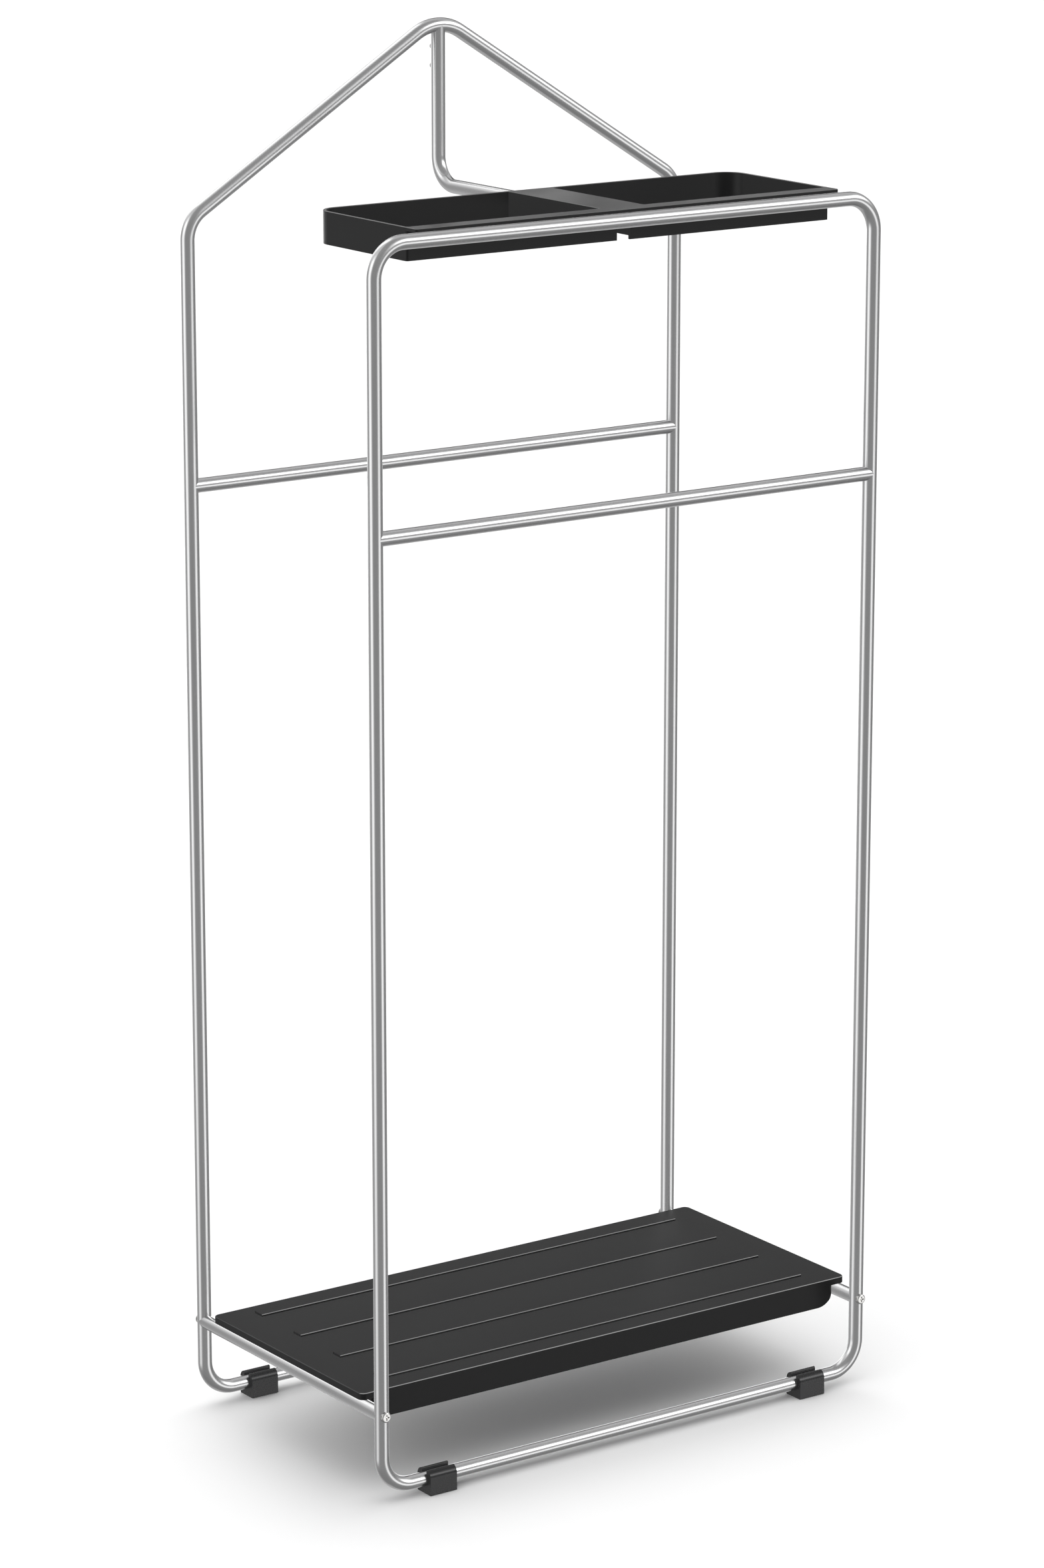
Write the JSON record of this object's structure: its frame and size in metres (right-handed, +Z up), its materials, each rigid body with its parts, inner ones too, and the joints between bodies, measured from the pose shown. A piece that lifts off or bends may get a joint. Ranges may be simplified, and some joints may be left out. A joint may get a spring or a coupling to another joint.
{
  "type": "valet stand",
  "caption": "Free-standing valet stand of bent steel tube with a gable jacket hanger, trouser bars, a lift-off two-compartment top tray and a ribbed lift-off shoe tray.",
  "frame": {"origin": "on the floor, midway between the front and rear frames and between the left and right uprights", "axes": "+X to the stand's right seen from the front, +Y to the rear, where the jacket hanger is, +Z up"},
  "size_m": [0.461, 0.2676, 1.0681],
  "materials": {
    "tube_steel": "satin polished stainless steel",
    "insert_steel": "plain turned steel, hidden inside the tubes",
    "screw_steel": "bright nickel plate",
    "foot_black": "fine matt black plastic",
    "top_tray_black": "satin black plastic",
    "shoe_tray_black": "satin black plastic"
  },
  "bodies": {
    "frame": {"front_frame_tube": "tube_steel", "rear_frame_tube": "tube_steel", "front_crossbar": "tube_steel", "rear_crossbar": "tube_steel", "tray_support_tube": "tube_steel", "apex_spigot": "insert_steel", "left_side_tube": "tube_steel", "right_side_tube": "tube_steel", "front_left_plug": "insert_steel", "front_right_plug": "insert_steel", "rear_left_plug": "insert_steel", "rear_right_plug": "insert_steel", "front_left_screw": "screw_steel", "front_right_screw": "screw_steel", "rear_left_screw": "screw_steel", "rear_right_screw": "screw_steel", "upper_apex_screw": "screw_steel", "lower_apex_screw": "screw_steel", "front_left_foot": "foot_black", "front_right_foot": "foot_black", "rear_left_foot": "foot_black", "rear_right_foot": "foot_black"},
    "top_tray": {"top_tray": "top_tray_black"},
    "shoe_tray": {"shoe_tray": "shoe_tray_black"}
  },
  "joints": [
    {"name": "top_tray_lift", "type": "slide", "parent": "frame", "child": "top_tray", "axis": [0, 0, 1], "range_m": [0, 0.12]},
    {"name": "shoe_tray_lift", "type": "slide", "parent": "frame", "child": "shoe_tray", "axis": [0, 0, 1], "range_m": [0, 0.15]}
  ]
}
